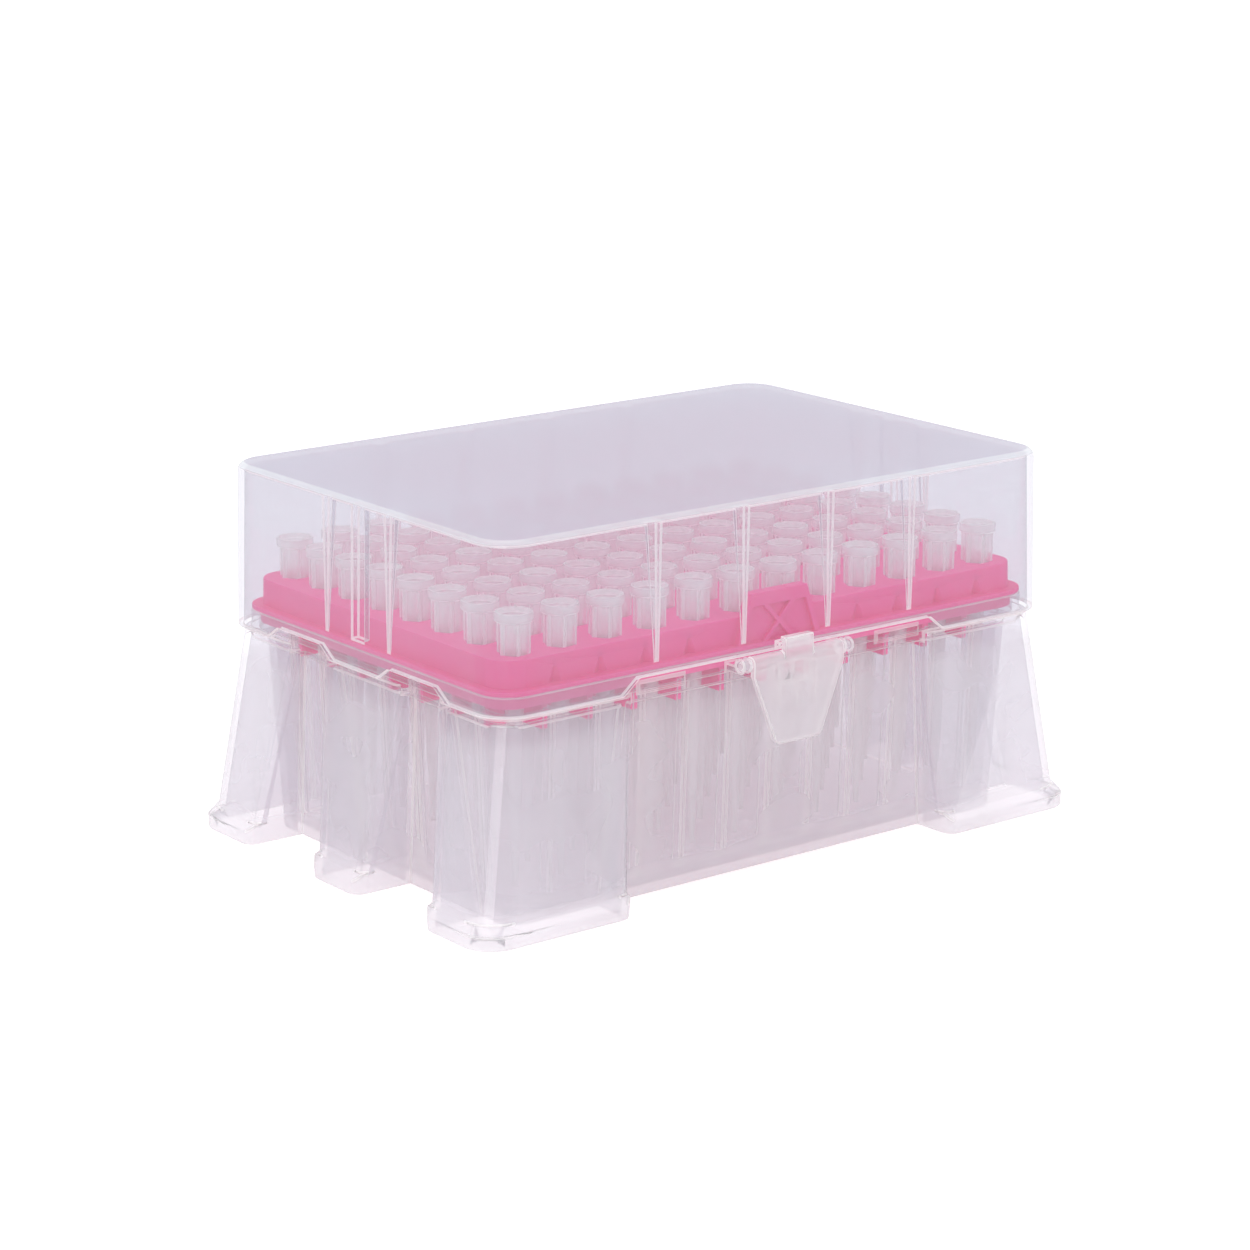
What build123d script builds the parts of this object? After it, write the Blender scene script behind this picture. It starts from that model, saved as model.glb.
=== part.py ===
from build123d import *
from math import atan2, cos, degrees, hypot, pi, sin
import os

os.makedirs("parts", exist_ok=True)

# Hinged-lid rack for 96 pipette tips.
# X runs along the long side, the latch is at -Y and the hinge at +Y, and Z is up from the floor.
# Sizes are millimetres. "half" sizes are measured from the centre of the box.

# ---- Tip grid ----
PITCH = 9.0
COLUMNS = 12
ROWS = 8

# ---- Well: the upright box that the tips hang in ----
WALL = 1.2
WELL_END_GAP = 2.3        # outer tip axes to the well's inside at the floor, along X
WELL_SIDE_GAP = 1.8       # the same along Y
WELL_SPREAD = 1.5         # how much wider the well is at its ledge, on each side
WELL_RADIUS = 3.0

# ---- Rim band round the top of the base; the heights of the parts round it follow RIM_HEIGHT ----
RIM_HEIGHT = 38.9
LEDGE_DEPTH = 3.6         # from the rim's top down to the well's ledge
BAND_DEPTH = 4.8
LEG_TOP_DEPTH = 3.2
RIM_END_STEP = 2.45       # well's outside at the ledge to the band's outside, along X
RIM_SIDE_STEP = 1.95      # the same along Y
RIM_RADIUS = 5.5
BEAD_INNER = 20.5         # the snap beads on the band's front run from here ...
BEAD_OUTER = 30.0         # ... to here on both sides
BEAD_LIFT = 1.5           # above the band's bottom
BEAD = 1.8
BEAD_PROUD = 0.4

# ---- Buttress legs and feet ----
LEG_END_STEP = 0.75       # band's outside to a leg's outside at its top, along X
LEG_SIDE_STEP = 0.9       # the same along Y
LEG_END_FLARE = 4.9       # spread of a leg's outer face from its top down to its foot, along X
LEG_SIDE_FLARE = 2.6      # the same along Y
LEG_RADIUS = 5.6
FOOT_STEP = 1.29          # how far a foot stands out past its leg
FOOT_HEIGHT = 2.3
FOOT_SHOULDER = 1.4       # height of the sloping shoulder above the foot
RECESS_HALF_LENGTH = 34.2 # recess in each long side, at the floor
RECESS_LEAN = 3.4         # how much nearer the middle each end of that recess is at the legs' tops
MID_LEG_HALF = 6.8        # the legs in the middle of the ends, at the floor
END_RECESS = 19.1         # width of each of the two recesses in an end, at the floor
END_RECESS_LEAN = 4.9     # how far in each side of an end recess leans up to the legs' tops
RECESS_FILLET = 2.4
HOLLOW_CHAMFER = 1.0      # on the hollows' corners inside those fillets

# ---- Ribs inside the well ----
WELL_RIB_WIDTH = 1.9
WELL_RIB_DEPTH = 0.8
WELL_RIB_FOOT = 3.2       # height above the floor where the ribs start

# ---- Tip plate ----
DECK_RISE = 4.5           # top of the deck above the flange
DECK = 1.2
PLATE_WALL = 1.5
PLATE_CLEARANCE = 0.25
FLANGE = 0.8
FLANGE_INSET = 0.1        # the flange ends this far inside the band's outside
FLANGE_WIDTH = 1.65
DECK_END_DRAFT = 0.1      # lean of the plate's sides between flange and deck, along X
DECK_SIDE_DRAFT = 0.1     # the same along Y
DECK_RADIUS = 4.5
SKIRT_DEPTH = 2.4         # the part of the plate below the rim's top
WEB = 1.2                 # ribs below the deck, between the tips
WEB_DEPTH = 12.8          # from the deck's top to the ribs' lower edges
WEB_CLEARANCE = 0.4
FLUTE_WIDTH = 2.7
FLUTE_DEPTH = 0.8
FLUTE_TOP_GAP = 0.3
TAB_HALF_TOP = 5.9
TAB_HALF_BOTTOM = 8.8
TAB_RISE = 3.8            # above the deck
TAB_THICK = 1.4
TAB_STAND = 0.5           # the tab's face ahead of the plate's side at the flange
TAB_BAR = 2.3             # height of the bar along its top
TAB_RIB = 1.1
TAB_RIB_PROUD = 0.7
TAB_CROSS = 2.8           # the crossing ribs end this far from the middle

# ---- Tips ----
TIP_SIDES = 6             # facets round each tip and its hole
HOLE_RADIUS = 2.4
COLLAR_RADIUS = 2.75
MOUTH_RADIUS = 3.1
COLLAR_HEIGHT = 6.8
SHANK_RADIUS = 2.2
TIP_END_RADIUS = 0.5
TIP_BORE = 2.0            # bore radius at the mouth
TIP_ORIFICE = 0.25
TIP_FLOOR_GAP = 4.5       # tip ends above the well's floor

# ---- Lid ----
LID_RISE = 25.3           # lid's top above the rim
LID_WALL = 1.0
LID_END_CLEARANCE = 1.05  # between the band and the lid's inside at its mouth, along X
LID_SIDE_CLEARANCE = 1.15 # the same along Y
LID_RADIUS = 7.0
LID_DRAFT = 0.6           # lean of the lid's walls from mouth to top
LID_TOP_ROUND = 1.5
LID_SEAT_GAP = 0.3        # skirt above the tops of the legs
LONG_ARCH_HALF = 31.0     # arches in the skirt over the base's recesses
LONG_ARCH_RISE = 2.6
END_ARCH_RISE = 2.1
END_ARCH_SLOPE = 3.2      # run of each sloping end of an end arch
LID_RIB_TOP_WIDTH = 2.6
LID_RIB_TOP_DEPTH = 1.3
LID_RIB_TIP_WIDTH = 0.5
LID_RIB_TIP_DEPTH = 0.3
LID_RIB_START = 1.9       # above the rim
CENTRE_RIB_WIDTH = 3.4
CENTRE_RIB_DEPTH = 1.4

# ---- Pivots: the lid's hinge behind and the latch's in front ----
PIVOT_OUT = 1.2           # axis outside the lid's wall
PIVOT_DEPTH = 1.3         # axis below the rim's top
BARREL_RADIUS = 1.3
EAR_RADIUS = 1.35
PIN_RADIUS = 0.75
PIN_CLEARANCE = 0.05
SIDE_CLEARANCE = 0.25     # between a barrel's end and its ear
EAR = 2.0
PIN_LENGTH = 1.9
HINGE_INNER = 17.3        # each hinge barrel runs from here ...
HINGE_OUTER = 26.7        # ... to here, on both sides of the centre, with its pin at the outer end
ARM_RISE = 3.0            # height of the arm that joins a hinge barrel to the lid

# ---- Latch ----
LATCH_HALF = 9.6
FLAP = 1.1
FLAP_HALF_TIP = 4.7
FLAP_DROP = 14.2          # below the pivot
FLAP_SHOULDER = 2.1       # the flap keeps its full width down to here
FLAP_CORNER = 1.5
FLAP_RIB = 0.9
FLAP_RIB_DEPTH = 1.4
FLAP_RIB_PITCH = 4.0
FLAP_RIB_DROP = 10.0
HUB_DROP = 4.3            # block behind the flap, from the pivot down
HUB_DEPTH = 1.0
HOOK_HALF = 3.0
HOOK_ARM = 1.2
NOSE = 0.9                # thickness of the hook's nose
HOOK_GAP = 0.3            # between the nose and the catch, in height
NOSE_CLEARANCE = 0.2      # between the nose and the catch, in depth
CATCH_PROUD = 0.75
CATCH = 0.9
CATCH_RISE = 1.6          # bottom of the catch above the pivot

# ---- Worked out from the sizes above ----
ledge_height = RIM_HEIGHT - LEDGE_DEPTH
band_bottom = RIM_HEIGHT - BAND_DEPTH
leg_top = RIM_HEIGHT - LEG_TOP_DEPTH
flange_top = RIM_HEIGHT + FLANGE
deck_height = flange_top + DECK_RISE
web_bottom = deck_height - WEB_DEPTH
pivot_height = RIM_HEIGHT - PIVOT_DEPTH
lid_height = RIM_HEIGHT + LID_RISE
grid_x = (COLUMNS - 1) / 2 * PITCH
grid_y = (ROWS - 1) / 2 * PITCH
well_x, well_y = grid_x + WELL_END_GAP, grid_y + WELL_SIDE_GAP
well_top_x, well_top_y = well_x + WELL_SPREAD, well_y + WELL_SPREAD
rim_x = well_top_x + WALL + RIM_END_STEP
rim_y = well_top_y + WALL + RIM_SIDE_STEP
leg_x, leg_y = rim_x + LEG_END_STEP, rim_y + LEG_SIDE_STEP
leg_foot_x, leg_foot_y = leg_x + LEG_END_FLARE, leg_y + LEG_SIDE_FLARE
foot_x, foot_y = leg_foot_x + FOOT_STEP, leg_foot_y + FOOT_STEP
foot_top = FOOT_HEIGHT + FOOT_SHOULDER
end_recess_out = MID_LEG_HALF + END_RECESS
side_x = rim_x - FLANGE_INSET - FLANGE_WIDTH
side_y = rim_y - FLANGE_INSET - FLANGE_WIDTH
lid_mouth = leg_top + LID_SEAT_GAP
lid_x = rim_x + LID_END_CLEARANCE + LID_WALL
lid_y = rim_y + LID_SIDE_CLEARANCE + LID_WALL
pivot_y = lid_y + PIVOT_OUT
column_xs = [(i - (COLUMNS - 1) / 2) * PITCH for i in range(COLUMNS)]
row_ys = [(j - (ROWS - 1) / 2) * PITCH for j in range(ROWS)]
lane_xs = [(i - (COLUMNS - 2) / 2) * PITCH for i in range(COLUMNS - 1)]
lane_ys = [(j - (ROWS - 2) / 2) * PITCH for j in range(ROWS - 1)]


def block(x0, x1, y0, y1, z0, z1):
    """A box between two corners."""
    centre = ((x0 + x1) / 2, (y0 + y1) / 2, (z0 + z1) / 2)
    return Pos(*centre) * Box(abs(x1 - x0), abs(y1 - y0), abs(z1 - z0))


def slab(half_x, half_y, radius, z):
    """A rounded rectangle at height z."""
    return Pos(0, 0, z) * RectangleRounded(2 * half_x, 2 * half_y, radius)


def upright(half_x, half_y, radius, z0, z1, lean=0.0):
    """A rounded block from z0 to z1 whose walls lean outwards evenly by a distance over its height."""
    return extrude(slab(half_x, half_y, radius, z0), z1 - z0, taper=-degrees(atan2(lean, z1 - z0)))


def leaning(low, high, z0, z1, radius=0.0):
    """A block whose ends and sides lean by different amounts; low and high are (half x, half y)."""
    far = low[0] + low[1] + high[0] + high[1]
    ends = profile_y([(-low[0], z0), (low[0], z0), (high[0], z1), (-high[0], z1)], -far, far)
    sides = profile_x([(-low[1], z0), (low[1], z0), (high[1], z1), (-high[1], z1)], -far, far)
    body = ends & sides
    if radius:
        corners = [e for e in body.edges() if abs(e.center().X) > 0.01 and abs(e.center().Y) > 0.01]
        body = fillet(corners, radius)
    return body


def closed(faces):
    """The solid that flat faces enclose, each face given by its corners."""
    return Solid(Shell([Face(Wire.make_polygon([Vector(*p) for p in face])) for face in faces]))


def profile_x(points, x0, x1):
    """A prism along X with its outline given as (y, z) points."""
    outline = Plane.YZ.offset(x0) * make_face(Polyline(*points, close=True))
    return extrude(outline, x1 - x0)


def profile_y(points, y0, y1):
    """A prism along Y with its outline given as (x, z) points."""
    outline = Plane.XZ.offset(-y0) * make_face(Polyline(*points, close=True))
    return extrude(outline, y0 - y1)


def rod(x0, x1, y, z, radius):
    """A round bar along X."""
    return Pos((x0 + x1) / 2, y, z) * Rot(0, 90, 0) * Cylinder(radius, abs(x1 - x0))


# ---- Base ----
def at_height(half, z):
    """Half size of the well's inside at height z, from its size at the floor."""
    return half + z / ledge_height * WELL_SPREAD


def well_solid(grow, z0, z1):
    """The well's spreading space, grown by a wall's thickness for its outside."""
    low, high = [(at_height(well_x, z) + grow, at_height(well_y, z) + grow) for z in (z0, z1)]
    return leaning(low, high, z0, z1, WELL_RADIUS + grow)


def leg_block(z0, z1, inset=0.0):
    """The flaring block that the legs are cut from."""
    def size(z):
        down = (leg_top - z) / (leg_top - foot_top)
        return leg_x + down * LEG_END_FLARE - inset, leg_y + down * LEG_SIDE_FLARE - inset
    return leaning(size(z0), size(z1), z0, z1, LEG_RADIUS - inset)


def recess_walls(z, inset=0.0):
    """Where the recesses' walls are at height z: X on the long sides, then the two Y on the ends."""
    up = z / leg_top
    return (RECESS_HALF_LENGTH - up * RECESS_LEAN + inset, MID_LEG_HALF + up * END_RECESS_LEAN - inset,
            end_recess_out - up * END_RECESS_LEAN + inset)


def cut_recesses(body, z0, z1, inset=0.0):
    """Take the recesses in the long sides and the ends out of a body."""
    (x0, near0, far0), (x1, near1, far1) = recess_walls(z0, inset), recess_walls(z1, inset)
    body -= profile_y([(-x0, z0), (x0, z0), (x1, z1), (-x1, z1)], -foot_y, foot_y)
    for t in (1, -1):
        outline = [(t * near0, z0), (t * far0, z0), (t * far1, z1), (t * near1, z1)]
        body -= profile_x(outline, -foot_x, foot_x)
    return body


def recess_corners(body, height, inset=0.0):
    """The outer rising edges of about that height where the recesses cut the legs."""
    edges = []
    for e in body.edges():
        c = e.center()
        side, near, far = recess_walls(c.Z, inset)
        on_side = abs(abs(c.X) - side) < 0.01 and abs(c.Y) > leg_y - inset - 0.01
        on_end = min(abs(abs(c.Y) - near), abs(abs(c.Y) - far)) < 0.01 and abs(c.X) > leg_x - inset - 0.01
        if (on_side or on_end) and abs(e.bounding_box().size.Z - height) < 0.01:
            edges.append(e)
    return edges


def legs_and_well():
    """The outside of the base below the band: six legs round the well."""
    body = cut_recesses(leg_block(0, leg_top), 0, leg_top)
    return fillet(recess_corners(body, leg_top), RECESS_FILLET) + well_solid(WALL, 0, leg_top)


def shoulder_start(inset=0.0):
    """Height where the feet's shoulders start, at a distance inside their outer faces."""
    run = FOOT_SHOULDER / FOOT_STEP
    return FOOT_HEIGHT - inset * (hypot(run, 1) - run)


def foot_block(inset=0.0):
    """A block with the outline of the feet and their sloping shoulders."""
    low = shoulder_start(inset)
    x, y, radius = foot_x - inset, foot_y - inset, LEG_RADIUS - inset
    return (leaning((x, y), (x, y), 0, low, radius)
            + leaning((x, y), (x - FOOT_STEP, y - FOOT_STEP), low, low + FOOT_SHOULDER, radius))


def feet():
    """Stepped feet, cut away over the recesses."""
    whole = cut_recesses(foot_block(), 0, foot_top)
    return fillet(recess_corners(whole, FOOT_HEIGHT), RECESS_FILLET)


def leg_spaces():
    """The hollows inside the legs and their feet, open below."""
    top = leg_top - WALL
    spaces = cut_recesses(leg_block(0, top, WALL), 0, top, WALL)
    spaces = chamfer(recess_corners(spaces, top, WALL), HOLLOW_CHAMFER)
    in_feet = cut_recesses(foot_block(WALL), 0, foot_top, WALL)
    in_feet = chamfer(recess_corners(in_feet, shoulder_start(WALL), WALL), HOLLOW_CHAMFER)
    return spaces + in_feet - well_solid(WALL, 0, top)


def well_ribs():
    """Slim upright ribs between the tips on all four walls of the well."""
    ribs = []
    z0, z1 = WELL_RIB_FOOT, ledge_height
    half = WELL_RIB_WIDTH / 2

    def outline(floor_half, s):
        low, high = at_height(floor_half, z0), at_height(floor_half, z1)
        return [(s * (low + WALL / 2), z0), (s * (low - WELL_RIB_DEPTH), z0),
                (s * (high - WELL_RIB_DEPTH), z1), (s * (high + WALL / 2), z1)]

    for s in (1, -1):
        ribs += [profile_x(outline(well_y, s), x - half, x + half) for x in lane_xs]
        ribs += [profile_y(outline(well_x, s), y - half, y + half) for y in lane_ys]
    return ribs


def ear(x0, x1, side):
    """One ear on the band with a bore for a stub pin; side is 1 behind and -1 in front."""
    y = side * pivot_y
    wall_y = side * (rim_y - WALL / 2)
    arm = block(x0, x1, wall_y, y, pivot_height - EAR_RADIUS, pivot_height)
    bore = rod(x0, x1, y, pivot_height, PIN_RADIUS + PIN_CLEARANCE)
    return arm + rod(x0, x1, y, pivot_height, EAR_RADIUS) - bore


def ear_spans(outer):
    """The X ranges of the two ears outside barrels that end at outer on both sides."""
    x = outer + SIDE_CLEARANCE
    return [(-x - EAR, -x), (x, x + EAR)]


def snap_beads():
    """Two low beads on the front of the band, in the arch of the lid's skirt."""
    low = band_bottom + BEAD_LIFT
    return [block(s * BEAD_INNER, s * BEAD_OUTER, -rim_y - BEAD_PROUD, -rim_y + WALL / 2, low, low + BEAD)
            for s in (1, -1)]


def base():
    body = legs_and_well() + feet() - leg_spaces()
    body += upright(rim_x, rim_y, RIM_RADIUS, band_bottom, RIM_HEIGHT)
    body -= well_solid(0, WALL, ledge_height)
    body -= upright(rim_x - WALL, rim_y - WALL, RIM_RADIUS - WALL, ledge_height, RIM_HEIGHT)
    body += well_ribs()
    body += snap_beads()
    for x0, x1 in ear_spans(LATCH_HALF):
        body += ear(x0, x1, -1)
    for x0, x1 in ear_spans(HINGE_OUTER):
        body += ear(x0, x1, 1)
    return body


# ---- Tip plate ----
def flute(x, side):
    """A groove that starts as a point under the deck's edge and widens down to the flange."""
    half = FLUTE_WIDTH / 2
    y = side * (side_y + 0.01)
    left, right = (x - half, y, flange_top), (x + half, y, flange_top)
    back = (x, y - side * FLUTE_DEPTH, flange_top)
    point = (x, side * (side_y - DECK_SIDE_DRAFT), deck_height - FLUTE_TOP_GAP)
    return closed([(left, back, right), (left, right, point), (right, back, point), (back, left, point)])


def tab():
    """The raised tab at the front: a bar over ribs down its edges and two more that cross between them."""
    face = -(side_y + TAB_STAND)
    front = face - TAB_RIB_PROUD
    top, low = deck_height + TAB_RISE, flange_top
    bar = top - TAB_BAR
    cross = (bar + low) / 2
    body = profile_y([(-TAB_HALF_BOTTOM, low), (-TAB_HALF_TOP, top), (TAB_HALF_TOP, top),
                      (TAB_HALF_BOTTOM, low)], front, face + TAB_THICK)
    half = TAB_RIB / 2
    spread = (TAB_HALF_BOTTOM - TAB_HALF_TOP) / (top - low) * TAB_BAR
    at_bar, at_low = TAB_HALF_TOP + spread - TAB_RIB, TAB_HALF_BOTTOM - TAB_RIB
    inner, outer = TAB_CROSS - half, TAB_CROSS + half
    pockets = [[(-inner, bar), (inner, bar), (0, cross + half)],
               [(-inner, low), (inner, low), (0, cross - half)]]
    for s in (1, -1):
        pockets.append([(s * at_bar, bar), (s * outer, bar), (s * half, cross),
                        (s * outer, low), (s * at_low, low)])
    for pocket in pockets:
        body -= profile_y(pocket, front, face)
    return body


def tip_plate():
    deck_x, deck_y = side_x - DECK_END_DRAFT, side_y - DECK_SIDE_DRAFT
    plate = leaning((side_x, side_y), (deck_x, deck_y), flange_top, deck_height, DECK_RADIUS)
    plate += upright(rim_x - FLANGE_INSET, rim_y - FLANGE_INSET, RIM_RADIUS, RIM_HEIGHT, flange_top)
    low = RIM_HEIGHT - SKIRT_DEPTH
    skirt = WALL + PLATE_CLEARANCE
    plate += upright(rim_x - skirt, rim_y - skirt, RIM_RADIUS - WALL, low, RIM_HEIGHT)
    under = deck_height - DECK
    plate -= upright(deck_x - PLATE_WALL, deck_y - PLATE_WALL, DECK_RADIUS - PLATE_WALL, low, under)
    for x in lane_xs:
        for side in (1, -1):
            if side == 1 or abs(x) > TAB_HALF_BOTTOM + FLUTE_WIDTH / 2:
                plate -= flute(x, side)
    room = WELL_RIB_DEPTH + WEB_CLEARANCE
    web_x, web_y = at_height(well_x, web_bottom) - room, at_height(well_y, web_bottom) - room
    plate += [block(x - WEB / 2, x + WEB / 2, -web_y, web_y, web_bottom, under) for x in lane_xs]
    for y in lane_ys:
        plate += [block(s * lane_xs[-1], s * web_x, y - WEB / 2, y + WEB / 2, web_bottom, under)
                  for s in (1, -1)]
    plate += tab()
    hole = Pos(0, 0, under) * RegularPolygon(HOLE_RADIUS, TIP_SIDES)
    plate -= [Pos(x, y, 0) * extrude(hole, DECK) for x in column_xs for y in row_ys]
    return plate


# ---- Tips ----
def tip():
    """One tip that hangs by its collar, open from mouth to end."""
    end = WALL + TIP_FLOOR_GAP
    mouth = deck_height + COLLAR_HEIGHT
    stations = [(end, TIP_END_RADIUS), (deck_height, SHANK_RADIUS), (deck_height, COLLAR_RADIUS),
                (mouth, MOUTH_RADIUS), (mouth, TIP_BORE), (end, TIP_ORIFICE)]
    turns = [2 * pi * i / TIP_SIDES for i in range(TIP_SIDES)]
    rings = [[(r * cos(t), r * sin(t), z) for t in turns] for z, r in stations]
    faces = []
    for lower, upper in zip(rings, rings[1:] + rings[:1]):
        for i in range(TIP_SIDES):
            j = (i + 1) % TIP_SIDES
            faces.append((lower[i], lower[j], upper[j], upper[i]))
    return closed(faces)


# ---- Lid ----
def lid_lean(z):
    """How far the lid's walls have leaned inwards at height z."""
    return (z - lid_mouth) / (lid_height - lid_mouth) * LID_DRAFT


def lid_room(z1):
    """The space inside the lid's walls from its mouth up to z1."""
    x, y, lean = lid_x - LID_WALL, lid_y - LID_WALL, lid_lean(z1)
    return leaning((x, y), (x - lean, y - lean), lid_mouth, z1, LID_RADIUS - LID_WALL)


def lid_rib(x, y, turn, z1):
    """A rib that hangs from the lid's top as a wide blade and ends in a point near the rim."""
    z0 = RIM_HEIGHT + LID_RIB_START
    wide, slim = LID_RIB_TOP_WIDTH / 2, LID_RIB_TIP_WIDTH / 2
    root = LID_WALL / 2
    side = [(root - lid_lean(z0), z0), (-LID_RIB_TIP_DEPTH - lid_lean(z0), z0),
            (-LID_RIB_TOP_DEPTH - lid_lean(z1), z1), (root - lid_lean(z1), z1)]
    front = [(-slim, z0), (slim, z0), (wide, z1), (-wide, z1)]
    blade = profile_x(side, -wide, wide) & profile_y(front, -2 * LID_RIB_TOP_DEPTH, LID_WALL)
    return Pos(x, y, 0) * Rot(0, 0, turn) * blade


def centre_rib(side, z1):
    """The plain upright rib in the middle of each end wall."""
    z0 = RIM_HEIGHT + LID_RIB_START
    half = CENTRE_RIB_WIDTH / 2
    wall = side * (lid_x - LID_WALL / 2)
    inner = side * (lid_x - LID_WALL - CENTRE_RIB_DEPTH)
    lean = side * LID_DRAFT
    return profile_y([(wall, z0), (inner, z0), (inner - lean, z1), (wall - lean, z1)], -half, half)


def arches():
    """The cuts that raise the skirt's edge over the base's recesses."""
    z = lid_mouth
    rise = z + LONG_ARCH_RISE
    a, b = LONG_ARCH_HALF, RECESS_HALF_LENGTH
    cuts = [profile_y([(-b, z), (-a, rise), (a, rise), (b, z)], -lid_y - 1, lid_y + 1)]
    low, high = MID_LEG_HALF, end_recess_out
    rise = z + END_ARCH_RISE
    for t in (1, -1):
        points = [(low, z), (low + END_ARCH_SLOPE, rise), (high - END_ARCH_SLOPE, rise), (high, z)]
        cuts.append(profile_x([(t * y, height) for y, height in points], -lid_x - 1, lid_x + 1))
    return cuts


def hinge_knuckle(side):
    """A barrel with a stub pin at its outer end and an arm up to the lid's back wall."""
    inner, outer = side * HINGE_INNER, side * HINGE_OUTER
    y, z = pivot_y, pivot_height
    wall = lid_y - LID_WALL / 2
    low = lid_mouth + LONG_ARCH_RISE
    arm = [(wall, low), (y, z - BARREL_RADIUS), (y + BARREL_RADIUS * 0.7, z + BARREL_RADIUS * 0.7),
           (wall, low + ARM_RISE)]
    return (profile_x(arm, inner, outer) + rod(inner, outer, y, z, BARREL_RADIUS)
            + rod(outer, outer + side * PIN_LENGTH, y, z, PIN_RADIUS))


def catch():
    """The ledge on the lid's front that the latch's nose sits over."""
    low = pivot_height + CATCH_RISE
    face = -lid_y
    return block(-HOOK_HALF, HOOK_HALF, face - CATCH_PROUD, face + LID_WALL / 2, low, low + CATCH)


def lid():
    ceiling = lid_height - LID_WALL
    shell = upright(lid_x, lid_y, LID_RADIUS, lid_mouth, lid_height, -LID_DRAFT)
    shell = fillet(shell.faces().sort_by(Axis.Z)[-1].edges(), LID_TOP_ROUND)
    shell -= lid_room(ceiling)
    rib_top = ceiling + LID_WALL / 2
    wall_x, wall_y = lid_x - LID_WALL, lid_y - LID_WALL
    for x in (-3 * PITCH, -PITCH, PITCH, 3 * PITCH):
        shell += [lid_rib(x, wall_y, 0, rib_top), lid_rib(x, -wall_y, 180, rib_top)]
    for y in (-PITCH, PITCH):
        shell += [lid_rib(wall_x, y, -90, rib_top), lid_rib(-wall_x, y, 90, rib_top)]
    shell += [centre_rib(s, rib_top) for s in (1, -1)]
    shell -= arches()
    shell += [hinge_knuckle(s) for s in (1, -1)]
    return shell + catch()


# ---- Latch ----
def latch():
    y, z = -pivot_y, pivot_height
    face = y - BARREL_RADIUS
    tip_z = z - FLAP_DROP
    shoulder = z - FLAP_SHOULDER
    outline = make_face(Polyline((-LATCH_HALF, z), (-LATCH_HALF, shoulder), (-FLAP_HALF_TIP, tip_z),
                                 (FLAP_HALF_TIP, tip_z), (LATCH_HALF, shoulder), (LATCH_HALF, z), close=True))
    outline = fillet([v for v in outline.vertices() if v.Y < tip_z + 0.01], FLAP_CORNER)
    body = extrude(Plane.XZ.offset(-face) * outline, -FLAP)
    body += rod(-LATCH_HALF, LATCH_HALF, y, z, BARREL_RADIUS)
    body += rod(-LATCH_HALF - PIN_LENGTH, LATCH_HALF + PIN_LENGTH, y, z, PIN_RADIUS)
    back = face + FLAP
    body += block(-HOOK_HALF, HOOK_HALF, back - 0.1, back + HUB_DEPTH, z - HUB_DROP, z)
    rib = [(back - 0.1, z), (back + FLAP_RIB_DEPTH, z - FLAP_SHOULDER), (back - 0.1, z - FLAP_RIB_DROP)]
    for x in (-FLAP_RIB_PITCH, 0, FLAP_RIB_PITCH):
        body += profile_x(rib, x - FLAP_RIB / 2, x + FLAP_RIB / 2)
    nose_z = z + CATCH_RISE + CATCH + HOOK_GAP
    nose_y = -lid_y - CATCH_PROUD - NOSE_CLEARANCE
    hook = [(face, z), (face, nose_z + NOSE), (nose_y, nose_z + NOSE), (nose_y, nose_z),
            (face + HOOK_ARM, nose_z), (face + HOOK_ARM, z)]
    return body + profile_x(hook, -HOOK_HALF, HOOK_HALF)


# ---- Write one file for each piece ----
export_step(base(), "parts/base.step")
export_step(tip_plate(), "parts/tip_plate.step")
export_step(lid(), "parts/lid.step")
export_step(latch(), "parts/latch.step")
one_tip = tip()
for number, x in enumerate(column_xs, start=1):
    column = Compound([Pos(x, y, 0) * one_tip for y in row_ys])
    export_step(column, f"parts/tip_column_{number:02d}.step")
print("footprint", round(2 * foot_x, 2), "x", round(2 * foot_y, 2))
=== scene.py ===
import math

import bmesh
import bpy
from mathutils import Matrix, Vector
from mathutils.bvhtree import BVHTree


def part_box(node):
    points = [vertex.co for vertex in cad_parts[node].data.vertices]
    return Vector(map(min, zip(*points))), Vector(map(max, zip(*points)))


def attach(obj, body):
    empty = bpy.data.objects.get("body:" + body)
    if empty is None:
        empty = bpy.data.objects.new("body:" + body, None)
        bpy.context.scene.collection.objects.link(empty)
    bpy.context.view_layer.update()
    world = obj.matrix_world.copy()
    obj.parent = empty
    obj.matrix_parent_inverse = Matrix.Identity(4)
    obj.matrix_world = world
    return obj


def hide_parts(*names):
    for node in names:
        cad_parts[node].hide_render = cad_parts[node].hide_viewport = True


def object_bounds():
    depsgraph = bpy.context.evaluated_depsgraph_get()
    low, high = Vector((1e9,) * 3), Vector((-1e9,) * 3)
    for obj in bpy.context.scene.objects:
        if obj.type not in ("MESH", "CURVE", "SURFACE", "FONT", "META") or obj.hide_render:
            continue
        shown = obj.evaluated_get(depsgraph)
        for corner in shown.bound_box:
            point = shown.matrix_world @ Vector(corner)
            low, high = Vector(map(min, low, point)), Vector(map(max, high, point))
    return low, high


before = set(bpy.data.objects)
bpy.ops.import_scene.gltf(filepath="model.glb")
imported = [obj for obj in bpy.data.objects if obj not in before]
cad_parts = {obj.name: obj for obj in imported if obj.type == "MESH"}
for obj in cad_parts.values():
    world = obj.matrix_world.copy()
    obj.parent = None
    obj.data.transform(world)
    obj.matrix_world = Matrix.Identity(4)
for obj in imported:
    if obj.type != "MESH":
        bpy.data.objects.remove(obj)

CAD_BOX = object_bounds()
MM = 0.001

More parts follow.
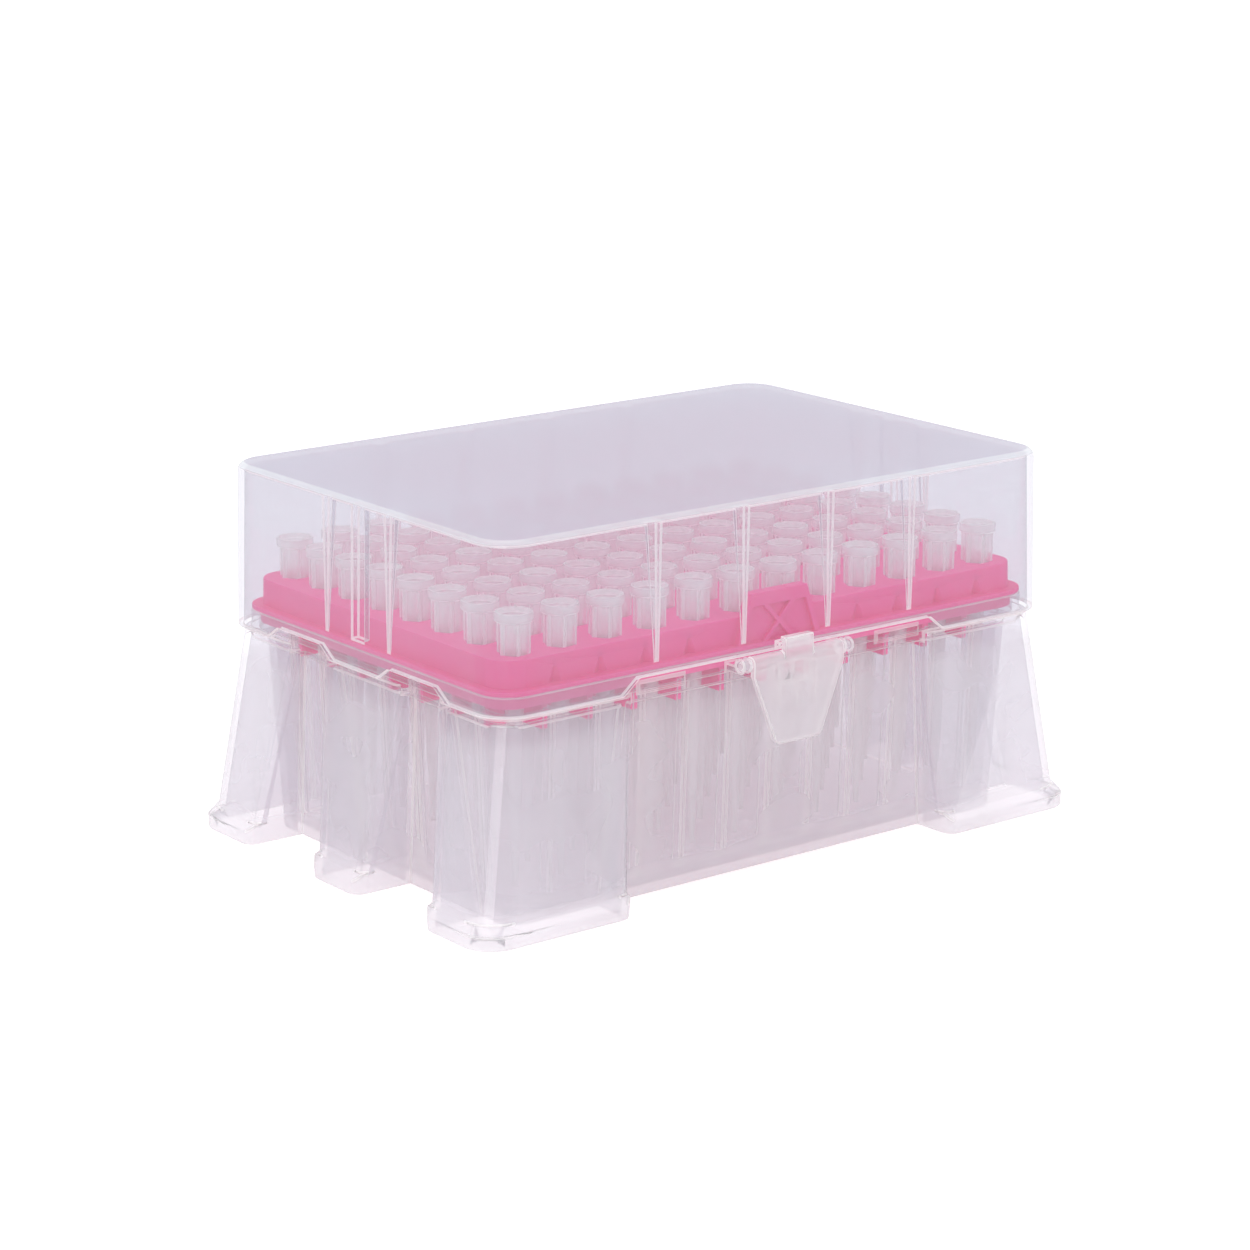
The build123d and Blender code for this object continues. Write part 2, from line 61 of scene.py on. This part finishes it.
# ---------------------------------------------------------------- sizes, in millimetres and degrees
WELD = 0.002                     # corners closer than this are one
RADIUS_SEGMENTS = 2              # faces across a moulded radius
SHARP_EDGE = 35.0                # edges that turn by more than this get a radius
SHARP_BASE_EDGE = 50.0           # the same on the base, whose legs have many slighter turns
LID_RADIUS, PLATE_RADIUS, BASE_RADIUS, LATCH_RADIUS = 0.3, 0.15, 0.3, 0.22
SMOOTH_COPY, SMOOTH_TIP = 35.0, 40.0     # faces that turn by less than this are shaded as one

FOOT_REACH = (63.89, 42.74)      # from the middle of the box to the outside of a corner foot
FOOT_RADIUS = 5.6                # its rounding, seen from above
FOOT_CENTRE = (FOOT_REACH[0] - FOOT_RADIUS, FOOT_REACH[1] - FOOT_RADIUS)
FOOT_HEIGHT = 2.3                # its upright side
FOOT_SHOULDER = 1.4              # the slope above that
FOOT_STEP = 1.29                 # how far in the slope goes
FOOT_MARGIN = 0.1                # nothing further above the slope is touched

PITCH = 9.0
TIP_ROWS, TIP_COLUMNS = 8, 12
TIP_SEGMENTS = 48
TIP_FINS = 6
FIN_SPAN = 2                     # segments across a fin
# the rim bands and the fins of each tip take a whiter material: a painted highlight
RIM_HIGHLIGHT_RINGS = (12, 15, 16, 17)     # the band from each of these rings to the next is a bright rim
DECK = 44.2                      # the plate's deck, on which the tips hang

# ---------------------------------------------------------------- looks
WHITE = (1, 1, 1, 1)
NOISE_SPAN = (0.3, 0.7)          # the noise values between which a look runs from one end to the other
GRAIN_DEPTH = 0.0002

CLOUD_SCALE, GRAIN_SCALE = 90.0, 4200.0  # of the clear plastics' slow unevenness and fine grain
CLOUD_SHADE = 0.97               # the darkest patches of the milky colour, as a share of it
HAZE_SPREAD = (0.85, 1.15)       # unevenness of the milky share
ROUGH_SPREAD = (0.8, 1.25)       # and of the roughness
FACE_GLOSS, SLANT_GLOSS, GLOSS_POWER = 0.04, 0.5, 4.0    # seen face on, seen at a slant, and the rise between
LEVEL_BLEND, TOP_BLEND = 1.0, 0.1        # millimetres on each side of a change in milkiness
FLAT_FROM, FLAT_TO = 0.97, 0.995         # the normal's upright share, from a sloping face to a level one

PINK_DARK, PINK_LIGHT = (0.86, 0.085, 0.315, 1.0), (0.93, 0.11, 0.36, 1.0)
PINK_ROUGH = (0.32, 0.45)
PINK_CLOUD_SCALE, PINK_GRAIN_SCALE = 60.0, 3000.0

FLOOR_COLOUR, FLOOR_GLOW = (0.86, 0.86, 0.87, 1.0), 0.4
SKY_UNSEEN, SKY_SEEN = 0.9, 1.0          # brightness for the light it gives, and as it shows


# ---------------------------------------------------------------- materials
def new_material(name):
    material = bpy.data.materials.new(name)
    material.use_nodes = True
    tree = material.node_tree
    tree.nodes.clear()
    return material, tree


def node(tree, kind, inputs=None, **settings):
    made = tree.nodes.new(kind)
    for key, value in settings.items():
        setattr(made, key, value)
    for key, value in (inputs or {}).items():
        if isinstance(value, bpy.types.NodeSocket):
            tree.links.new(value, made.inputs[key])
        else:
            made.inputs[key].default_value = value
    return made


def math_node(tree, operation, a, b=0.0):
    return node(tree, "ShaderNodeMath", {0: a, 1: b}, operation=operation).outputs[0]


def ramp(tree, value, low, high, from_low=0.0, from_high=1.0):
    return node(tree, "ShaderNodeMapRange", {
        "Value": value, "From Min": from_low, "From Max": from_high,
        "To Min": low, "To Max": high}).outputs[0]


def noise(tree, coords, scale, detail=3.0):
    return node(tree, "ShaderNodeTexNoise", {
        "Vector": coords, "Scale": scale, "Detail": detail}).outputs["Fac"]


def mix_values(tree, share, first, second):
    return node(tree, "ShaderNodeMix", {0: share, 2: first, 3: second}).outputs[0]


def mix_colours(tree, share, first, second):
    return node(tree, "ShaderNodeMix", {0: share, 6: first, 7: second}, data_type="RGBA").outputs[2]


def mix_shaders(tree, share, first, second):
    return node(tree, "ShaderNodeMixShader", {0: share, 1: first, 2: second}).outputs[0]


def seen_directly(tree):
    """1 on camera and transmission rays, 0 on the rest."""
    path = node(tree, "ShaderNodeLightPath")
    return math_node(tree, "MAXIMUM", path.outputs["Is Camera Ray"], path.outputs["Is Transmission Ray"])


def clear_plastic(name, tint, haze_colour, haze, rough=0.04, top=None, glint_rim=None, levels=(), bump=0.02):
    """Moulded see-through plastic in thin walls: tinted clear, partly milky, glossier at a slant.

    top is (height, haze, colour) of a frosted upper face, and the band round its edge is given the same way,
    its colour a painted glint.
    levels gives other milky shares from a height upwards. Heights are in millimetres.
    """
    material, tree = new_material(name)
    coords = node(tree, "ShaderNodeTexCoord").outputs["Object"]
    cloud = noise(tree, coords, CLOUD_SCALE, 1.0)
    height = node(tree, "ShaderNodeSeparateXYZ", {"Vector": coords}).outputs["Z"]

    for start, share in levels:
        above = ramp(tree, height, 0.0, 1.0, (start - LEVEL_BLEND) * MM, (start + LEVEL_BLEND) * MM)
        haze = mix_values(tree, above, haze, share)
    haze = math_node(tree, "MULTIPLY", ramp(tree, cloud, *HAZE_SPREAD, *NOISE_SPAN), haze)
    shaded = tuple(CLOUD_SHADE * c for c in haze_colour)
    milky = mix_colours(tree, cloud, (*haze_colour, 1.0), (*shaded, 1.0))
    if top is not None:
        normal = node(tree, "ShaderNodeNewGeometry").outputs["Normal"]
        up = node(tree, "ShaderNodeSeparateXYZ", {"Vector": normal}).outputs["Z"]
        level = ramp(tree, math_node(tree, "ABSOLUTE", up), 0.0, 1.0, FLAT_FROM, FLAT_TO)
        # the edge band's cyan-white colour is a painted glint on the lid's top edge; the top is the frosted
        # face
        for (start, share, colour), side in ((glint_rim, 1.0), (top, level)):
            above = ramp(tree, height, 0.0, 1.0, (start - TOP_BLEND) * MM, (start + TOP_BLEND) * MM)
            mask = math_node(tree, "MULTIPLY", above, side)
            haze = mix_values(tree, mask, haze, share)
            milky = mix_colours(tree, mask, milky, (*colour, 1.0))

    relief = {}
    if bump:
        grain = noise(tree, coords, GRAIN_SCALE, 0.0)
        relief = {"Normal": node(tree, "ShaderNodeBump", {
            "Strength": bump, "Distance": GRAIN_DEPTH, "Height": grain}).outputs[0]}

    clear = node(tree, "ShaderNodeBsdfTransparent", {"Color": (*tint, 1.0)})
    inside = node(tree, "ShaderNodeBsdfTranslucent", {"Color": milky})
    skin = node(tree, "ShaderNodeBsdfDiffuse", {"Color": milky})
    body = mix_shaders(tree, 0.5, inside.outputs[0], skin.outputs[0])
    surface = mix_shaders(tree, haze, clear.outputs[0], body)

    edge_on = node(tree, "ShaderNodeLayerWeight", {"Blend": 0.5, **relief}).outputs["Facing"]
    shine = ramp(tree, math_node(tree, "POWER", edge_on, GLOSS_POWER), FACE_GLOSS, SLANT_GLOSS)
    uneven = ramp(tree, cloud, rough * ROUGH_SPREAD[0], rough * ROUGH_SPREAD[1], *NOISE_SPAN)
    sheen = node(tree, "ShaderNodeBsdfGlossy", {"Color": WHITE, "Roughness": uneven, **relief})
    surface = mix_shaders(tree, shine, surface, sheen.outputs[0])
    node(tree, "ShaderNodeOutputMaterial", {"Surface": surface})
    return material


def pink_plastic(name):
    """Moulded opaque pink plastic with a fine grain and slightly uneven colour."""
    material, tree = new_material(name)
    coords = node(tree, "ShaderNodeTexCoord").outputs["Object"]
    cloud = noise(tree, coords, PINK_CLOUD_SCALE)
    grain = noise(tree, coords, PINK_GRAIN_SCALE, 2.0)
    relief = node(tree, "ShaderNodeBump", {"Strength": 0.05, "Distance": GRAIN_DEPTH, "Height": grain})
    skin = node(tree, "ShaderNodeBsdfPrincipled", {
        "Base Color": mix_colours(tree, cloud, PINK_DARK, PINK_LIGHT),
        "Roughness": ramp(tree, cloud, *PINK_ROUGH, *NOISE_SPAN),
        "Subsurface Weight": 0.25, "Subsurface Radius": (0.004, 0.0015, 0.002), "Subsurface Scale": 0.5,
        "Normal": relief.outputs[0]})
    node(tree, "ShaderNodeOutputMaterial", {"Surface": skin.outputs[0]})
    return material


def floor_material():
    """White floor: it shows as plain white, and keeps a faint shadow."""
    material, tree = new_material("floor_white")
    matte = node(tree, "ShaderNodeBsdfDiffuse", {"Color": FLOOR_COLOUR})
    glow = node(tree, "ShaderNodeEmission", {
        "Color": WHITE, "Strength": math_node(tree, "MULTIPLY", seen_directly(tree), FLOOR_GLOW)})
    both = node(tree, "ShaderNodeAddShader", {0: matte.outputs[0], 1: glow.outputs[0]})
    node(tree, "ShaderNodeOutputMaterial", {"Surface": both.outputs[0]})
    return material


def dress(name, material):
    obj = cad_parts[name]
    obj.data.materials.clear()
    obj.data.materials.append(material)
    return obj


def let_light_through(obj):
    """Thin clear walls throw no shadow on what is behind them."""
    obj.visible_shadow = False
    obj.visible_diffuse = False
    return obj


# ---------------------------------------------------------------- shapes
def add_object(name, data):
    obj = bpy.data.objects.new(name, data)
    bpy.context.scene.collection.objects.link(obj)
    return obj


def shade_smooth(mesh, angle):
    mesh.polygons.foreach_set("use_smooth", [True] * len(mesh.polygons))
    mesh.set_sharp_from_angle(angle=math.radians(angle))
    mesh.update()


def round_edges(obj, width, edge_highlight_material=None):
    """Small moulded radii on the sharp edges of a CAD node, in a material of their own where given, which
    paints a whiter highlight along the edges.
    """
    weld = obj.modifiers.new("join_faces", "WELD")
    weld.merge_threshold = WELD * MM
    bevel = obj.modifiers.new("edge_radius", "BEVEL")
    bevel.width = width * MM
    bevel.segments = RADIUS_SEGMENTS
    bevel.limit_method = "ANGLE"
    bevel.angle_limit = math.radians(SHARP_EDGE)
    bevel.use_clamp_overlap = False
    bevel.loop_slide = False
    # the radii's own material is a painted highlight along the edges
    if edge_highlight_material is not None:
        obj.data.materials.append(edge_highlight_material)
        bevel.material = len(obj.data.materials) - 1


def rounded_copy(name, cad, width, materials, angle=SHARP_EDGE, fit=None):
    """A copy of a CAD piece with moulded radii on its sharp edges, none of which strays from its surface.

    materials is for the faces and for the radii, the radii's material a whiter painted highlight, and fit
    moves corners before the edges are rounded.
    """
    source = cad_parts[cad]
    bm = bmesh.new()
    bm.from_mesh(source.data)
    bm.transform(source.matrix_world)
    bmesh.ops.remove_doubles(bm, verts=bm.verts, dist=WELD * MM)
    if fit is not None:
        for vert in bm.verts:
            fit(vert.co)
    surface = BVHTree.FromBMesh(bm)
    low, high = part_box(cad)
    sharp = [e for e in bm.edges if e.is_manifold and e.calc_face_angle(0.0) > math.radians(angle)]
    # the radii take material 1, which paints a highlight on them
    bmesh.ops.bevel(bm, geom=sharp, offset=width * MM, offset_type="OFFSET", segments=RADIUS_SEGMENTS,
                    profile=0.5, affect="EDGES", clamp_overlap=False, loop_slide=False, material=1)
    for vert in bm.verts:
        place, _, _, away = surface.find_nearest(vert.co)
        if away > width * MM:
            vert.co = place
        vert.co = Vector(min(max(c, a), b) for c, a, b in zip(vert.co, low, high))
    mesh = bpy.data.meshes.new(name)
    bm.to_mesh(mesh)
    bm.free()
    mesh.validate()
    shade_smooth(mesh, SMOOTH_COPY)
    obj = add_object(name, mesh)
    for material in materials:
        mesh.materials.append(material)
    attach(obj, cad)
    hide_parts(cad)
    return obj


def round_foot(point):
    """Bring the shoulder above each corner foot inside the foot's own rounded corner."""
    height = point.z / MM
    over_x, over_y = abs(point.x) / MM - FOOT_CENTRE[0], abs(point.y) / MM - FOOT_CENTRE[1]
    if height > FOOT_HEIGHT + FOOT_SHOULDER + FOOT_MARGIN or over_x <= 0 or over_y <= 0:
        return
    allowed = FOOT_RADIUS - min(max((height - FOOT_HEIGHT) / FOOT_SHOULDER, 0.0), 1.0) * FOOT_STEP
    reach = math.hypot(over_x, over_y)
    if reach > allowed:
        point.x = math.copysign((FOOT_CENTRE[0] + over_x * allowed / reach) * MM, point.x)
        point.y = math.copysign((FOOT_CENTRE[1] + over_y * allowed / reach) * MM, point.y)


def tip_rings():
    """(height above the floor, radius, fin radius) round the outside from the end up, then down the bore.

    A fin radius of 0 stands for no fins.
    """
    shank = [(5.7, 0.42, 0), (5.75, 0.46, 0), (12.0, 0.68, 0), (20.0, 0.95, 0), (27.0, 1.2, 0),
             (34.0, 1.48, 0), (39.0, 1.8, 0), (DECK - 0.1, 2.1, 0), (DECK + 0.02, 2.38, 0)]
    collar = [(DECK + 0.05, 2.38, 2.72), (DECK + 4.9, 2.42, 2.76), (DECK + 5.15, 2.5, 2.9)]
    mouth = [(DECK + 5.3, 3.05, 3.05), (DECK + 5.45, 3.13, 0), (DECK + 6.6, 3.13, 0), (DECK + 6.78, 3.02, 0),
             (DECK + 6.8, 2.75, 0)]
    bore = [(DECK + 6.7, 2.62, 0), (DECK + 5.9, 2.4, 0), (DECK + 5.5, 2.28, 0), (DECK + 1.0, 1.95, 0),
            (DECK - 2.0, 1.55, 0), (34.0, 1.05, 0), (20.0, 0.6, 0), (5.8, 0.24, 0), (5.7, 0.28, 0)]
    return shank + collar + mouth + bore


def tip_mesh(name, x, rows):
    """A column of hollow tips, each one closed skin with a finned collar and a rimmed mouth, fins and rim
    bands in a second material that is a painted highlight.
    """
    vertices, faces, highlight_slots = [], [], []
    rings = tip_rings()
    count = len(rings)
    per_fin = TIP_SEGMENTS // TIP_FINS
    for y in rows:
        start = len(vertices)
        for height, radius, fin in rings:
            for i in range(TIP_SEGMENTS):
                angle = 2 * math.pi * (i + 0.5) / TIP_SEGMENTS
                r = fin if fin and i % per_fin < FIN_SPAN else radius
                across, along = r * math.cos(angle), r * math.sin(angle)
                vertices.append(((x + across) * MM, (y + along) * MM, height * MM))
        for k in range(count):
            a = start + k * TIP_SEGMENTS
            b = start + (k + 1) % count * TIP_SEGMENTS
            for i in range(TIP_SEGMENTS):
                j = (i + 1) % TIP_SEGMENTS
                faces.append((a + i, a + j, b + j, b + i))
                # faces on a fin or a rim band get slot 1, the painted highlight
                fin_highlight = rings[k][2] and i % per_fin < FIN_SPAN
                highlight_slots.append(1 if fin_highlight or k in RIM_HIGHLIGHT_RINGS else 0)
    mesh = bpy.data.meshes.new(name)
    mesh.from_pydata(vertices, [], faces)
    mesh.polygons.foreach_set("material_index", highlight_slots)
    mesh.validate()
    shade_smooth(mesh, SMOOTH_TIP)
    return mesh


# ---------------------------------------------------------------- the part
# the lid's rim colour, cyan-white round the top edge, is a painted glint
lid_plastic = clear_plastic(
    "lid_clear", tint=(0.868, 0.868, 0.894), haze_colour=(0.95, 0.95, 1.0), haze=0.08,
    top=(63.6, 0.7, (0.62, 0.635, 0.765)), glint_rim=(63.5, 0.6, (0.88, 0.97, 1.0)))
# near-white milky radii on the lid: a painted highlight along its edges
lid_edge_highlight = clear_plastic(
    "lid_edge_highlight", tint=(0.97, 0.97, 0.98), haze_colour=(1.0, 0.99, 1.0), haze=0.9, rough=0.1)
base_plastic = clear_plastic(
    "base_frosted", tint=(0.925, 0.922, 0.942), haze_colour=(0.98, 0.95, 1.0), haze=0.34, rough=0.06,
    levels=((4.5, 0.24), (31.0, 0.08)))
# near-white milky radii on the base: a painted highlight along its edges
base_edge_highlight = clear_plastic(
    "base_edge_highlight", tint=(0.98, 0.98, 0.99), haze_colour=(1.0, 0.99, 1.0), haze=0.6, rough=0.1)
latch_plastic = clear_plastic(
    "latch_clear", tint=(0.96, 0.955, 0.965), haze_colour=(1.0, 0.96, 1.0), haze=0.4, rough=0.06)
# near-white milky radii on the latch: a painted highlight along its edges
latch_edge_highlight = clear_plastic(
    "latch_edge_highlight", tint=(0.99, 0.99, 0.99), haze_colour=(1.0, 0.99, 1.0), haze=0.85, rough=0.1)
tip_plastic = clear_plastic(
    "tip_translucent", tint=(0.997, 0.992, 0.995), haze_colour=(1.0, 0.985, 1.0), haze=0.36, rough=0.04,
    bump=0)
# near-white milky fins and rims on the tips: a painted highlight
tip_rib_highlight = clear_plastic(
    "tip_rib_highlight", tint=(0.99, 0.98, 0.985), haze_colour=(1.0, 0.99, 1.0), haze=0.85, rough=0.08, bump=0)

round_edges(let_light_through(dress("lid", lid_plastic)), LID_RADIUS, lid_edge_highlight)
round_edges(dress("tip_plate", pink_plastic("plate_pink")), PLATE_RADIUS)
let_light_through(rounded_copy("base_moulding", "base", BASE_RADIUS,
                               (base_plastic, base_edge_highlight), SHARP_BASE_EDGE, round_foot))
let_light_through(rounded_copy("latch_moulding", "latch", LATCH_RADIUS,
                               (latch_plastic, latch_edge_highlight)))

rows = [(j - (TIP_ROWS - 1) / 2) * PITCH for j in range(TIP_ROWS)]
for number in range(1, TIP_COLUMNS + 1):
    cad = f"tip_column_{number:02d}"
    name = f"tips_{number:02d}"
    low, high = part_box(cad)
    obj = add_object(name, tip_mesh(name, (low[0] + high[0]) / 2 / MM, rows))
    obj.data.materials.append(tip_plastic)
    obj.data.materials.append(tip_rib_highlight)
    let_light_through(obj)
    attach(obj, "base")
    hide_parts(cad)

# ---------------------------------------------------------------- studio, in metres
FLOOR_HALF, FLOOR_HEIGHT = 6.0, -0.0001
SOFTBOXES = {                    # place, size, power
    "light_left": ((-0.75, -0.55, 0.6), 0.6, 1.8),
    "light_right": ((0.75, -0.7, 0.5), 0.6, 1.0),
    "light_top": ((0.0, 0.2, 0.95), 0.8, 1.7),
}

floor_mesh = bpy.data.meshes.new("floor")
floor_corners = [(x * FLOOR_HALF, y * FLOOR_HALF, 0) for x, y in ((-1, -1), (1, -1), (1, 1), (-1, 1))]
floor_mesh.from_pydata(floor_corners, [], [(0, 1, 2, 3)])
floor_mesh.materials.append(floor_material())
floor = add_object("floor", floor_mesh)
floor.location.z = FLOOR_HEIGHT

world = bpy.data.worlds.new("studio")
bpy.context.scene.world = world
world.use_nodes = True
tree = world.node_tree
tree.nodes.clear()
sky = node(tree, "ShaderNodeBackground", {
    "Color": WHITE, "Strength": ramp(tree, seen_directly(tree), SKY_UNSEEN, SKY_SEEN)})
node(tree, "ShaderNodeOutputWorld", {"Surface": sky.outputs[0]})

middle = (Vector(CAD_BOX[0]) + Vector(CAD_BOX[1])) / 2
for name, (place, size, power) in SOFTBOXES.items():
    light = bpy.data.lights.new(name, "AREA")
    light.shape = "RECTANGLE"
    light.size = light.size_y = size
    light.energy = power
    softbox = add_object(name, light)
    softbox.location = place
    softbox.rotation_euler = (middle - Vector(place)).to_track_quat("-Z", "Y").to_euler()

# ---------------------------------------------------------------- camera
AZIMUTH, ELEVATION, DISTANCE = math.radians(-37.79), math.radians(14.85), 0.6084
TARGET = Vector((-0.00306, 0.0, 0.03453))
FOCAL_PIXELS, IMAGE_PIXELS, SENSOR_WIDTH = 3541.7, 1250, 36

back = Vector((math.sin(AZIMUTH) * math.cos(ELEVATION), -math.cos(AZIMUTH) * math.cos(ELEVATION),
               math.sin(ELEVATION)))
lens = bpy.data.cameras.new("camera")
lens.lens = FOCAL_PIXELS / IMAGE_PIXELS * SENSOR_WIDTH
lens.sensor_width = SENSOR_WIDTH
lens.clip_start = 0.01
camera = add_object("camera", lens)
camera.location = TARGET + back * DISTANCE
camera.rotation_euler = back.to_track_quat("Z", "Y").to_euler()

scene = bpy.context.scene
scene.camera = camera
scene.view_settings.view_transform = "Standard"
scene.cycles.max_bounces = 4
scene.cycles.diffuse_bounces = 3
scene.cycles.glossy_bounces = 2
scene.cycles.transmission_bounces = 1
scene.cycles.transparent_max_bounces = 96
